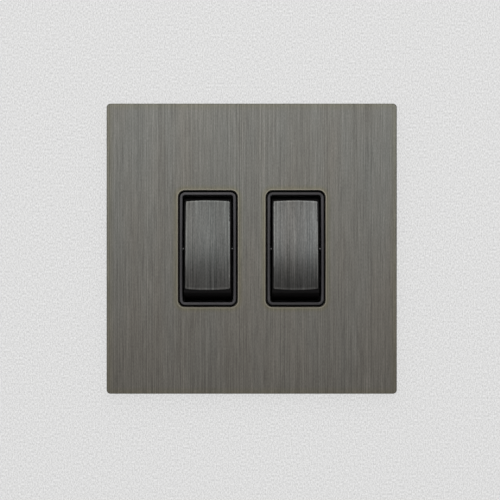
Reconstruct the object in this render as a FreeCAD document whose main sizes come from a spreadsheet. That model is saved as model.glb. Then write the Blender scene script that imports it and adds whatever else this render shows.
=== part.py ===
import FreeCAD, Part
import math
import os
import re

import Sketcher

# A two-gang rocker wall switch: a flat metal plate with two windows, each with a black switch module.
# Frame: +X right and +Z up as seen from the room, +Y into the wall. The origin lies on the wall's
# surface, midway between the two box screws. Millimetres and degrees.

DIMENSIONS = {
    # front plate
    "plate_size": 90.0,
    "plate_front": 4.6,  # the plate's face stands this far off the wall
    "plate_gauge": 1.6,
    "plate_corner": 1.2,
    "edge_break": 0.25,
    "clear_cut": 100.0,  # longer than any piece, for cuts that run right out of it
    "window_width": 18.3,
    "window_height": 36.0,
    "window_corner": 2.0,
    "gang_pitch": 27.2,
    # clip frame and gasket behind the plate
    "liner_size": 88.4,
    "liner_opening_width": 77.0,
    "liner_opening_height": 67.0,
    "liner_corner": 1.0,
    "gasket_size": 87.4,
    "gasket_gauge": 0.3,
    "gasket_opening_width": 79.0,
    "gasket_opening_height": 69.0,
    "hook_width": 8.0,
    "hook_reach": 1.8,
    "hook_gauge": 0.45,
    "hook_offset": 20.0,
    # pressed steel mounting frame
    "yoke_width": 76.0,
    "yoke_height": 66.0,
    "yoke_corner": 4.0,
    "yoke_front": 2.0,
    "yoke_gauge": 1.2,
    "lug_width": 10.0,
    "lug_height": 15.0,
    "lug_corner": 2.0,
    "slot_width": 4.0,
    "slot_length": 7.0,
    "slot_corner": 1.99,  # a hair under half the slot's width
    "module_opening_width": 21.4,
    "module_opening_height": 39.4,
    "notch_width": 8.6,
    "notch_depth": 2.4,
    # box screws, on the 60.3 mm centres of a standard wall box
    "screw_centres": 60.3,
    "screw_thread_radius": 1.75,
    "screw_neck_radius": 1.5,
    "screw_tip": 23.0,
    "screw_head_radius": 3.0,
    "screw_head_height": 1.5,
    "screw_slot_width": 0.9,
    "slot_run": 2.4,  # a driver slot's cut, in radii of its head
    "screw_slot_depth": 0.8,
    "screw_edge": 0.4,
    "thread_start": 0.1,
    # bezel: the black surround of one rocker
    "flange_width": 24.0,
    "flange_height": 42.0,
    "flange_corner": 1.5,
    "flange_gauge": 0.9,
    "module_width": 21.0,
    "module_height": 39.0,
    "module_corner": 1.2,
    "rim_width": 17.35,
    "rim_height": 34.9,
    "rim_corner": 1.7,
    "rim_front": 5.4,
    "rim_round": 0.38,
    "opening_width": 15.7,
    "opening_height": 33.2,
    "opening_corner": 0.8,
    "bezel_rear": 6.0,
    "guide_rib_reach": 0.4,
    "guide_rib_height": 0.5,
    "guide_rib_front": 5.0,
    "guide_rib_rear": 0.8,
    "snap_width": 6.0,
    "snap_root": 0.5,
    "snap_reach": 0.8,
    "snap_length": 2.6,
    "snap_gap": 0.05,
    # rocker, drawn level about its pivot, then tilted
    "pivot_depth": 1.0,
    "rocker_tilt": 9.0,
    "cap_radius": 42.0,
    "cap_rise": 10.0,  # crown of the cap above the pivot
    "cap_gauge": 0.8,
    "cap_half_length": 13.8,
    "cap_end_bow": 0.3,
    "cap_width": 13.8,
    "cap_corner": 0.5,
    "cap_round": 0.28,
    "cap_peg_radius": 0.9,
    "cap_peg_length": 1.6,
    "cap_peg_root": 1.2,  # the pegs' roots lie this far behind the crown, inside the cap
    "cap_peg_offset": 8.0,
    "cap_peg_hole": 6.0,
    "rocker_width": 14.8,
    "rocker_end_radius": 16.1,
    "rocker_rear": 2.0,
    "rocker_front_width": 14.3,
    "rocker_wall": 1.2,
    "rib_gauge": 1.0,
    "rib_rear": 3.5,
    "rib_reach": 14.0,
    "trunnion_radius": 1.5,
    "trunnion_span": 19.2,
    "bearing_radius": 1.55,
    "bearing_span": 19.8,
    "tube_radius": 2.6,
    "tube_rear": 6.5,
    "tube_bore_radius": 1.56,
    "tube_bore_end": 6.0,
    # plunger and spring
    "plunger_radius": 1.5,
    "plunger_front": 3.6,
    "plunger_tip": 10.0,
    "plunger_tip_radius": 1.1,
    "plunger_neck": 3.3,
    "spring_radius": 1.1,
    "spring_wire": 0.2,
    "spring_turns": 3.0,
    # see-saw contact bridge
    "fulcrum_depth": 12.5,
    "bridge_ratio": 0.7,
    "bridge_width": 4.0,
    "bridge_reach": 11.2,
    "bridge_gauge": 0.6,
    "bridge_front": 1.44,
    "saddle_radius": 0.85,
    "saddle_half_width": 1.6,
    "contact_radius": 1.4,
    "contact_height": 0.8,
    "contact_offset": 9.5,
    # switch base
    "base_width": 22.0,
    "base_height": 40.0,
    "base_corner": 1.5,
    "base_rear": 21.0,
    "cavity_width": 18.8,
    "cavity_height": 30.4,
    "cavity_floor": 14.1,
    "core_width": 8.0,
    "core_height": 21.0,
    "core_floor": 15.7,
    "core_rib": 1.2,
    "post_inner": 8.0,
    "post_outer": 9.8,
    "post_height": 2.9,
    "post_tip": 1.7,
    "post_foot": 12.0,
    "pocket_clearance": 0.1,
    # brass terminals
    "terminal_width": 5.6,
    "terminal_length": 7.0,
    "terminal_inner_end": 12.6,
    "terminal_offset": 3.8,
    "strip_front": 13.3,
    "strip_gauge": 0.8,
    "strip_gap": 0.8,
    "strip_margin": 0.6,  # past the edge of a contact
    "strip_split": 1.6,  # where the second line's strip ends beside the common one
    "wire_depth": 16.0,
    "wire_radius": 1.7,
    "fulcrum_radius": 0.8,
    "fulcrum_length": 4.8,
    "fulcrum_wall": 1.0,
    "clamp_screw_radius": 1.5,
    "clamp_screw_lift": 0.6,  # backed off, so that the wire holes are clear
    "clamp_head_radius": 2.2,
    "clamp_head_height": 1.4,
    "clamp_head_gap": 0.4,
    "clamp_hole_radius": 1.6,
    # case screws
    "case_screw_offset_x": 8.9,
    "case_screw_offset_z": 17.8,
    "case_screw_radius": 0.85,
    "case_hole_radius": 0.9,
    "case_head_radius": 1.5,
    "case_head_height": 1.2,
    "case_counterbore": 1.7,
    "case_head_seat": 13.0,
    "case_screw_tip": 0.9,
    # earth terminal
    "earth_height": 27.0,
    "earth_width": 7.0,
    "earth_length": 8.0,
    "earth_rear": 7.4,
    "earth_wire_depth": 2.6,
}

WORD = re.compile(r"\b(" + "|".join(DIMENSIONS) + r")\b")
SIDES = {"left": "-gang_pitch / 2", "right": "gang_pitch / 2"}
CENTRE = ("0", "0")
ENDS = ("-1", "1")
HAIR = 1e-3

# ---- the document, its sheet and the short forms used below ----

doc = FreeCAD.newDocument("rocker_wall_switch")
sheet = doc.addObject("Spreadsheet::Sheet", "dims")
for row, (alias, size) in enumerate(DIMENSIONS.items(), start=1):
    sheet.set(f"A{row}", alias)
    sheet.set(f"B{row}", str(size))
    sheet.setAlias(f"B{row}", alias)
doc.recompute()


def size_of(text):
    """The present value of an expression written with the sheet's aliases."""
    return float(sheet.evalExpression(text))


def bind(thing, place, text):
    """Ties a property to such an expression."""
    thing.setExpression(place, WORD.sub(r"dims.\1", text))


def new_body(label, x="0", y="0", tilt=None):
    """A body at (x, y, 0), turned by tilt about its own X axis."""
    body = doc.addObject("PartDesign::Body", label)
    body.Label = label
    body.Placement = FreeCAD.Placement(FreeCAD.Vector(), FreeCAD.Rotation(FreeCAD.Vector(1, 0, 0), 1))
    bind(body, "Placement.Base.x", x)
    bind(body, "Placement.Base.y", y)
    bind(body, "Placement.Rotation.Angle", tilt or "0")
    return body


def new_sketch(body, role, offset):
    """A sketch on one of the body's own origin planes, moved along that plane's normal."""
    sketch = body.newObject("Sketcher::SketchObject", "Sketch")
    plane = next(feature for feature in body.Origin.OriginFeatures if feature.Role == role)
    sketch.AttachmentSupport = [(plane, "")]
    sketch.MapMode = "FlatFace"
    bind(sketch, "AttachmentOffset.Base.z", offset)
    return sketch


def front_sketch(body, y="0"):
    """Drawn in X and Z at depth y. Its normal is -Y, towards the room."""
    return new_sketch(body, "XZ_Plane", f"-({y})")


def side_sketch(body, x="0"):
    """Drawn in Y and Z at x, with its normal along +X."""
    return new_sketch(body, "YZ_Plane", x)


def top_sketch(body, z="0"):
    """Drawn in X and Y at height z, with its normal along +Z."""
    return new_sketch(body, "XY_Plane", z)


def constrain(sketch, kind, *where, to):
    index = sketch.addConstraint(Sketcher.Constraint(kind, *where, size_of(to)))
    bind(sketch, f"Constraints[{index}]", to)


def fix_point(sketch, geometry, end, x, z):
    constrain(sketch, "DistanceX", -1, 1, geometry, end, to=x)
    constrain(sketch, "DistanceY", -1, 1, geometry, end, to=z)


def circle(sketch, centre, radius):
    middle = FreeCAD.Vector(*map(size_of, centre), 0)
    index = sketch.addGeometry(Part.Circle(middle, FreeCAD.Vector(0, 0, 1), size_of(radius)), False)
    constrain(sketch, "Radius", index, to=radius)
    fix_point(sketch, index, 3, *centre)


def end_at(sketch, geometry, point):
    """Which end of a line or arc, 1 or 2, lies at the point."""
    return min((1, 2), key=lambda end: sketch.getPoint(geometry, end).distanceToPoint(point))


def outline(sketch, *corners):
    """A closed outline. A corner is (x, z), or (x, z, radius, side) where an arc leads on to the next:
    side is +1 if the arc bulges to the right of the way it runs, and -1 if to the left."""
    first = sketch.GeometryCount
    count = len(corners)
    points = [FreeCAD.Vector(size_of(corner[0]), size_of(corner[1]), 0) for corner in corners]
    for index, corner in enumerate(corners):
        here, there = points[index], points[(index + 1) % count]
        if len(corner) == 2:
            sketch.addGeometry(Part.LineSegment(here, there), False)
            continue
        chord = there - here
        radius = size_of(corner[2])
        rise = radius - math.sqrt(radius**2 - (chord.Length / 2) ** 2)
        middle = (here + there) * 0.5
        middle += FreeCAD.Vector(chord.y, -chord.x, 0).normalize() * rise * corner[3]
        sketch.addGeometry(Part.ArcOfCircle(here, middle, there), False)
    for index, corner in enumerate(corners):
        this, previous = first + index, first + (index - 1) % count
        start = end_at(sketch, this, points[index])
        before = end_at(sketch, previous, points[index])
        sketch.addConstraint(Sketcher.Constraint("Coincident", previous, before, this, start))
        fix_point(sketch, this, start, corner[0], corner[1])
        if len(corner) > 2:
            constrain(sketch, "Radius", this, to=corner[2])


def rectangle(sketch, left, low, right, high):
    outline(sketch, (left, low), (right, low), (right, high), (left, high))


def box(sketch, width, height, centre=CENTRE):
    """A rectangle about a centre."""
    x, z = centre
    rectangle(sketch, f"{x} - {width} / 2", f"{z} - {height} / 2",
              f"{x} + {width} / 2", f"{z} + {height} / 2")


def rounded_box(sketch, width, height, radius, centre=CENTRE):
    """A rectangle about a centre with its corners rounded."""
    x, z = centre
    left, right = f"{x} - {width} / 2", f"{x} + {width} / 2"
    low, high = f"{z} - {height} / 2", f"{z} + {height} / 2"
    outline(
        sketch,
        (f"{left} + {radius}", low), (f"{right} - {radius}", low, radius, 1),
        (right, f"{low} + {radius}"), (right, f"{high} - {radius}", radius, 1),
        (f"{right} - {radius}", high), (f"{left} + {radius}", high, radius, 1),
        (left, f"{high} - {radius}"), (left, f"{low} + {radius}", radius, 1),
    )


def add(body, kind, sketch, length, both_ways=False, forward=False):
    """A Pad or a Pocket of the sketch."""
    feature = body.newObject("PartDesign::" + kind, kind)
    feature.Profile = sketch
    bind(feature, "Length", length)
    feature.Midplane = both_ways
    feature.Reversed = forward
    sketch.Visibility = False
    doc.recompute()
    return feature


def pad(body, sketch, length, **ways):
    return add(body, "Pad", sketch, length, **ways)


def pocket(body, sketch, length, **ways):
    """Cuts towards the wall, or forward towards the room, and makes sure that something was cut."""
    before = body.Shape.Volume
    feature = add(body, "Pocket", sketch, length, **ways)
    if body.Shape.Volume > before - HAIR:
        raise ValueError(f"{body.Label}: {feature.Label} cut nothing")
    return feature


def edges_where(feature, test):
    return [f"Edge{i}" for i, edge in enumerate(feature.Shape.Edges, start=1) if test(edge)]


def dress(body, kind, size_name, size, test):
    """A Fillet or Chamfer on the edges of the body's tip that pass the test."""
    tip = body.Tip
    feature = body.newObject("PartDesign::" + kind, kind)
    feature.Base = (tip, edges_where(tip, test))
    bind(feature, size_name, size)
    doc.recompute()


def fillet(body, radius, test):
    dress(body, "Fillet", "Radius", radius, test)


def chamfer(body, size, test):
    dress(body, "Chamfer", "Size", size, test)


def lies_at(axis, text):
    """A test for edges that lie wholly in a plane across the axis."""
    place = size_of(text)
    low, high = axis + "Min", axis + "Max"
    return lambda edge: (abs(getattr(edge.BoundBox, low) - place) < HAIR
                         and abs(getattr(edge.BoundBox, high) - place) < HAIR)


def lies_round(centre_y, radius):
    """A test for edges on a cylinder along X, whose axis is at centre_y and height 0."""
    y, reach = size_of(centre_y), size_of(radius)
    return lambda edge: all(abs(math.hypot(vertex.Y - y, vertex.Z) - reach) < HAIR
                            for vertex in edge.Vertexes)


# ---- plate, clip frame, gasket and mounting frame ----

def front_plate():
    body = new_body("front_plate")
    sketch = front_sketch(body, "plate_gauge - plate_front")
    rounded_box(sketch, "plate_size", "plate_size", "plate_corner")
    for x in SIDES.values():
        rounded_box(sketch, "window_width", "window_height", "window_corner", (x, "0"))
    pad(body, sketch, "plate_gauge")
    chamfer(body, "edge_break", lies_at("Y", "-plate_front"))


def clip_frame():
    """The black moulding bonded behind the plate, whose four hooks catch behind the mounting frame."""
    body = new_body("clip_frame")
    sketch = front_sketch(body, "-gasket_gauge")
    rounded_box(sketch, "liner_size", "liner_size", "liner_corner")
    rounded_box(sketch, "liner_opening_width", "liner_opening_height", "liner_corner")
    pad(body, sketch, "plate_front - plate_gauge - gasket_gauge")
    sketch = front_sketch(body, "-gasket_gauge")
    for side in ENDS:
        for end in ENDS:
            x = f"{side} * hook_offset"
            root = f"{end} * (liner_opening_height / 2 + hook_gauge)"
            tip = f"{end} * (liner_opening_height / 2 - hook_reach)"
            low, high = (tip, root) if end == "1" else (root, tip)
            rectangle(sketch, f"{x} - hook_width / 2", low, f"{x} + hook_width / 2", high)
    pad(body, sketch, "hook_gauge")


def wall_gasket():
    body = new_body("wall_gasket")
    sketch = front_sketch(body)
    rounded_box(sketch, "gasket_size", "gasket_size", "liner_corner")
    rounded_box(sketch, "gasket_opening_width", "gasket_opening_height", "liner_corner")
    pad(body, sketch, "gasket_gauge")


def mounting_frame():
    """A pressed tray: a web with a rim turned back to the wall, and two dished lugs for the box screws."""
    body = new_body("mounting_frame")
    sketch = front_sketch(body)
    rounded_box(sketch, "yoke_width", "yoke_height", "yoke_corner")
    pad(body, sketch, "yoke_front")
    lugs = [(f"{side} * screw_centres / 2", "0") for side in ENDS]
    rear = front_sketch(body)
    rounded_box(rear, "(yoke_width - 2 * yoke_gauge)", "(yoke_height - 2 * yoke_gauge)",
                "(yoke_corner - yoke_gauge)")
    for lug in lugs:
        box(rear, "(lug_width + 2 * yoke_gauge)", "(lug_height + 2 * yoke_gauge)", lug)
    pocket(body, rear, "yoke_front - yoke_gauge", forward=True)
    front = front_sketch(body, "-yoke_front")
    for lug in lugs:
        rounded_box(front, "lug_width", "lug_height", "lug_corner", lug)
    pocket(body, front, "yoke_front - yoke_gauge")
    through = front_sketch(body, "-yoke_front")
    for x in SIDES.values():
        box(through, "module_opening_width", "module_opening_height", (x, "0"))
    rounded_box(through, "slot_width", "slot_length", "slot_corner", lugs[0])
    rounded_box(through, "slot_length", "slot_width", "slot_corner", lugs[1])
    pocket(body, through, "yoke_front")
    notches = front_sketch(body)
    for side in ENDS:
        for end in ENDS:
            x = f"{side} * hook_offset"
            inner, outer = f"{end} * (yoke_height / 2 - notch_depth)", f"{end} * clear_cut"
            low, high = (inner, outer) if end == "1" else (outer, inner)
            rectangle(notches, f"{x} - notch_width / 2", low, f"{x} + notch_width / 2", high)
    pocket(body, notches, "yoke_front - yoke_gauge", forward=True)


def box_screws():
    body = new_body("box_screws")
    centres = [(f"{side} * screw_centres / 2", "0") for side in ENDS]
    neck = front_sketch(body, "-thread_start")
    thread = front_sketch(body, "screw_tip")
    head = front_sketch(body, "-yoke_gauge")
    slot = front_sketch(body, "-yoke_gauge - screw_head_height")
    for centre in centres:
        circle(neck, centre, "screw_neck_radius")
        circle(thread, centre, "screw_thread_radius")
        circle(head, centre, "screw_head_radius")
        box(slot, "(slot_run * screw_head_radius)", "screw_slot_width", centre)
    pad(body, thread, "screw_tip + thread_start")
    pad(body, neck, "yoke_gauge - thread_start")
    pad(body, head, "screw_head_height")
    chamfer(body, "screw_edge", lies_at("Y", "-yoke_gauge - screw_head_height"))
    pocket(body, slot, "screw_slot_depth")
    chamfer(body, "screw_edge", lies_at("Y", "screw_tip"))


def earth_terminal():
    """The brass block riveted behind the mounting frame, with a wire hole and a clamping screw's hole."""
    body = new_body("earth_terminal")
    sketch = front_sketch(body, "earth_rear")
    centre = ("0", "-earth_height")
    box(sketch, "earth_width", "earth_length", centre)
    pad(body, sketch, "earth_rear + yoke_front - yoke_gauge")
    chamfer(body, "edge_break", lies_at("Y", "earth_rear"))
    wire = top_sketch(body)
    circle(wire, ("0", "earth_wire_depth"), "wire_radius")
    pocket(body, wire, "clear_cut")
    hole = front_sketch(body, "earth_rear")
    circle(hole, centre, "clamp_hole_radius")
    pocket(body, hole, "earth_rear - earth_wire_depth", forward=True)


def clamp_screws(label, x, centres, rear, wire):
    """Slotted clamping screws, their heads towards the back, in one body as separate solids."""
    body = new_body(label, x)
    seat = f"({rear} + clamp_head_gap)"
    shank = front_sketch(body, seat)
    head = front_sketch(body, f"{seat} + clamp_head_height")
    slot = front_sketch(body, f"{seat} + clamp_head_height")
    for centre in centres:
        circle(shank, centre, "clamp_screw_radius")
        circle(head, centre, "clamp_head_radius")
        box(slot, "(slot_run * clamp_head_radius)", "screw_slot_width", centre)
    pad(body, shank, f"{seat} - ({wire} + wire_radius + clamp_screw_lift)")
    pad(body, head, "clamp_head_height")
    chamfer(body, "edge_break", lies_at("Y", f"{seat} + clamp_head_height"))
    pocket(body, slot, "screw_slot_depth", forward=True)


# ---- one switch module ----

CASE_SCREWS = (("-case_screw_offset_x", "case_screw_offset_z"),
               ("case_screw_offset_x", "-case_screw_offset_z"))
UPPER_LEFT = ("-terminal_offset", "(terminal_inner_end + terminal_length / 2)")
UPPER_RIGHT = ("terminal_offset", "(terminal_inner_end + terminal_length / 2)")
LOWER_MIDDLE = ("0", "-(terminal_inner_end + terminal_length / 2)")
STRIP_END = "(contact_offset - contact_radius - strip_margin)"


def bezel(side, x):
    """The black surround, with the rocker's bearings in its side walls."""
    body = new_body(f"bezel_{side}", x)
    flange = front_sketch(body, "-yoke_front")
    rounded_box(flange, "flange_width", "flange_height", "flange_corner")
    pad(body, flange, "flange_gauge")
    trunk = front_sketch(body, "bezel_rear")
    rounded_box(trunk, "module_width", "module_height", "module_corner")
    pad(body, trunk, "bezel_rear + yoke_front")
    rim = front_sketch(body, "-yoke_front")
    rounded_box(rim, "rim_width", "rim_height", "rim_corner")
    pad(body, rim, "rim_front - yoke_front")
    opening = front_sketch(body, "-rim_front")
    rounded_box(opening, "opening_width", "opening_height", "opening_corner")
    pocket(body, opening, "rim_front + bezel_rear")
    fillet(body, "rim_round", lies_at("Y", "-rim_front"))
    bearing = side_sketch(body)
    outline(bearing,
            ("pivot_depth", "bearing_radius", "bearing_radius", 1),
            ("pivot_depth - bearing_radius", "0", "bearing_radius", 1),
            ("pivot_depth", "-bearing_radius"),
            ("clear_cut", "-bearing_radius"), ("clear_cut", "bearing_radius"))
    pocket(body, bearing, "bearing_span", both_ways=True)
    ribs = front_sketch(body, "-guide_rib_rear")
    for turn in ENDS:
        tip = f"{turn} * (opening_width / 2 - guide_rib_reach)"
        root = f"{turn} * (opening_width / 2 + guide_rib_reach)"
        left, right = (tip, root) if turn == "1" else (root, tip)
        rectangle(ribs, left, "-guide_rib_height / 2", right, "guide_rib_height / 2")
    pad(body, ribs, "guide_rib_front - guide_rib_rear")
    snaps = side_sketch(body)
    for end in ENDS:
        root = f"{end} * (module_height / 2 - snap_root)"
        tip = f"{end} * (module_height / 2 + snap_reach)"
        face = "-(yoke_front - yoke_gauge) + snap_gap"
        outline(snaps, (face, root), (face, tip), (f"{face} + snap_length", root))
    pad(body, snaps, "snap_width", both_ways=True)
    holes = front_sketch(body, "bezel_rear")
    for centre in CASE_SCREWS:
        circle(holes, centre, "case_hole_radius")
    pocket(body, holes, "bezel_rear", forward=True)


def switch_base(side, x):
    """The housing behind the bezel: a cavity for the contacts, three pockets open to the back and the
    ends for the terminals, and two posts that close the rocker's bearings."""
    body = new_body(f"switch_base_{side}", x)
    block = front_sketch(body, "base_rear")
    rounded_box(block, "base_width", "base_height", "base_corner")
    pad(body, block, "base_rear - bezel_rear")
    cavity = front_sketch(body, "bezel_rear")
    box(cavity, "cavity_width", "cavity_height")
    pocket(body, cavity, "cavity_floor - bezel_rear")
    pockets = front_sketch(body, "base_rear")
    for cx, cz in (UPPER_LEFT, UPPER_RIGHT, LOWER_MIDDLE):
        inner = "(terminal_inner_end - pocket_clearance)"
        low, high = (inner, "clear_cut") if cz == UPPER_LEFT[1] else ("-clear_cut", f"-{inner}")
        half = "(terminal_width / 2 + pocket_clearance)"
        rectangle(pockets, f"{cx} - {half}", low, f"{cx} + {half}", high)
    pocket(body, pockets, "base_rear - strip_front + pocket_clearance", forward=True)
    cores = front_sketch(body, "base_rear")
    for turn in ENDS:
        box(cores, "core_width", "core_height", (f"{turn} * (core_width + core_rib) / 2", "0"))
    pocket(body, cores, "base_rear - core_floor", forward=True)
    foot = front_sketch(body, "post_foot")
    post = front_sketch(body, "post_foot")
    for turn in ENDS:
        ends = [f"{turn} * post_inner", f"{turn} * post_outer"]
        left, right = ends if turn == "1" else ends[::-1]
        rectangle(foot, left, "-post_height", right, "post_height")
        rectangle(post, left, "-post_height / 2", right, "post_height / 2")
    pad(body, foot, "post_foot - bezel_rear")
    pad(body, post, "post_foot - post_tip")
    saddle = side_sketch(body)
    circle(saddle, ("pivot_depth", "0"), "bearing_radius")
    pocket(body, saddle, "base_width", both_ways=True)
    holes = front_sketch(body, "base_rear")
    seats = front_sketch(body, "base_rear")
    for centre in CASE_SCREWS:
        circle(holes, centre, "case_hole_radius")
        circle(seats, centre, "case_counterbore")
    pocket(body, holes, "base_rear - bezel_rear", forward=True)
    pocket(body, seats, "base_rear - case_head_seat", forward=True)


def case_screws(side, x):
    body = new_body(f"case_screws_{side}", x)
    shank = front_sketch(body, "case_head_seat")
    head = front_sketch(body, "case_head_seat + case_head_height")
    for centre in CASE_SCREWS:
        circle(shank, centre, "case_screw_radius")
        circle(head, centre, "case_head_radius")
    pad(body, shank, "case_head_seat - case_screw_tip")
    pad(body, head, "case_head_height")
    chamfer(body, "edge_break", lies_at("Y", "case_head_seat + case_head_height"))


def terminal_block(body, centre):
    """A brass block with its wire hole along Z and its screw's hole from the back."""
    block = front_sketch(body, "base_rear")
    box(block, "terminal_width", "terminal_length", centre)
    pad(body, block, "base_rear - strip_front")


def terminal_holes(body, centre):
    chamfer(body, "edge_break", lies_at("Y", "base_rear"))
    wire = top_sketch(body, "base_height")
    circle(wire, (centre[0], "wire_depth"), "wire_radius")
    pocket(body, wire, "clear_cut")
    hole = front_sketch(body, "base_rear")
    circle(hole, centre, "clamp_hole_radius")
    pocket(body, hole, "base_rear - wire_depth", forward=True)


def strip(body, left, low, right, high):
    """A flat brass strip lying on the floor of the cavity."""
    sketch = front_sketch(body, "strip_front + strip_gauge")
    rectangle(sketch, left, low, right, high)
    pad(body, sketch, "strip_gauge")


def l1_terminal(side, x):
    body = new_body(f"l1_terminal_{side}", x)
    terminal_block(body, LOWER_MIDDLE)
    strip(body, "-terminal_width / 2", "-terminal_inner_end - strip_gap", "terminal_width / 2",
          f"-{STRIP_END}")
    terminal_holes(body, LOWER_MIDDLE)


def l2_terminal(side, x):
    body = new_body(f"l2_terminal_{side}", x)
    terminal_block(body, UPPER_RIGHT)
    outer = "terminal_offset + terminal_width / 2"
    strip(body, "-strip_split", STRIP_END, outer, "terminal_inner_end - strip_gap")
    strip(body, "terminal_offset - terminal_width / 2", "terminal_inner_end - 2 * strip_gap", outer,
          "terminal_inner_end + strip_gap")
    terminal_holes(body, UPPER_RIGHT)


def common_terminal(side, x):
    """The common terminal's strip runs beside the upper contact to the bridge's fulcrum."""
    body = new_body(f"common_terminal_{side}", x)
    terminal_block(body, UPPER_LEFT)
    outer = "-(terminal_offset + terminal_width / 2)"
    inner = "(strip_split + strip_gap)"
    strip(body, outer, "-bridge_width / 2", f"-{inner}", "terminal_inner_end + strip_gap")
    strip(body, f"-{inner} - strip_gap", "-bridge_width / 2", "fulcrum_length / 2", "bridge_width / 2")
    wall = front_sketch(body, "strip_front + strip_gauge / 2")
    rectangle(wall, "-fulcrum_length / 2", "-fulcrum_wall / 2", "fulcrum_length / 2", "fulcrum_wall / 2")
    pad(body, wall, "strip_front + strip_gauge / 2 - fulcrum_depth")
    rod = side_sketch(body)
    circle(rod, ("fulcrum_depth", "0"), "fulcrum_radius")
    pad(body, rod, "fulcrum_length", both_ways=True)
    terminal_holes(body, UPPER_LEFT)


def fixed_contacts(side, x):
    """Two silver buttons: the lower on the first line terminal, the upper on the second."""
    body = new_body(f"fixed_contacts_{side}", x)
    sketch = front_sketch(body, "strip_front")
    for end in ENDS:
        circle(sketch, ("0", f"{end} * contact_offset"), "contact_radius")
    pad(body, sketch, "contact_height")
    chamfer(body, "edge_break", lies_at("Y", "strip_front - contact_height"))


def contact_bridge(side, x):
    """The see-saw blade: two arms that lean forward by its tilt, and a saddle on the fulcrum's rod."""
    body = new_body(f"contact_bridge_{side}", x, "fulcrum_depth", "bridge_ratio * rocker_tilt")
    lean = "(bridge_ratio * rocker_tilt)"
    sketch = side_sketch(body)
    front = f"-bridge_front / cos({lean})"
    rear = f"-(bridge_front - bridge_gauge) / cos({lean})"
    tip_rise = f"bridge_reach * tan({lean})"
    outline(
        sketch,
        (front, "0"),
        (f"{front} - {tip_rise}", "bridge_reach"),
        (f"{rear} - {tip_rise}", "bridge_reach"),
        (f"{rear} - saddle_half_width * tan({lean})", "saddle_half_width"),
        ("0", "saddle_half_width"),
        ("0", "saddle_radius", "saddle_radius", 1),
        ("-saddle_radius", "0", "saddle_radius", 1),
        ("0", "-saddle_radius"),
        ("0", "-saddle_half_width"),
        (f"{rear} - saddle_half_width * tan({lean})", "-saddle_half_width"),
        (f"{rear} - {tip_rise}", "-bridge_reach"),
        (f"{front} - {tip_rise}", "-bridge_reach"),
    )
    pad(body, sketch, "bridge_width", both_ways=True)


def moving_contacts(side, x):
    """A silver button behind each arm of the bridge."""
    lean = size_of("bridge_ratio * rocker_tilt")
    across = FreeCAD.Vector(1, 0, 0)
    buttons = []
    for end in (-1, 1):
        turn = FreeCAD.Rotation(across, lean + end * lean)
        foot = FreeCAD.Vector(0, size_of("bridge_gauge - bridge_front"), end * size_of("contact_offset"))
        button = doc.addObject("Part::Cylinder", "Button")
        bind(button, "Radius", "contact_radius")
        bind(button, "Height", "contact_height")
        centre = FreeCAD.Vector(size_of(x), size_of("fulcrum_depth"), 0)
        stand = FreeCAD.Rotation(across, -90)
        button.Placement = FreeCAD.Placement(centre + turn.multVec(foot), turn.multiply(stand))
        buttons.append(button)
    group = doc.addObject("Part::Compound", f"moving_contacts_{side}")
    group.Label = f"moving_contacts_{side}"
    group.Links = buttons


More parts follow.
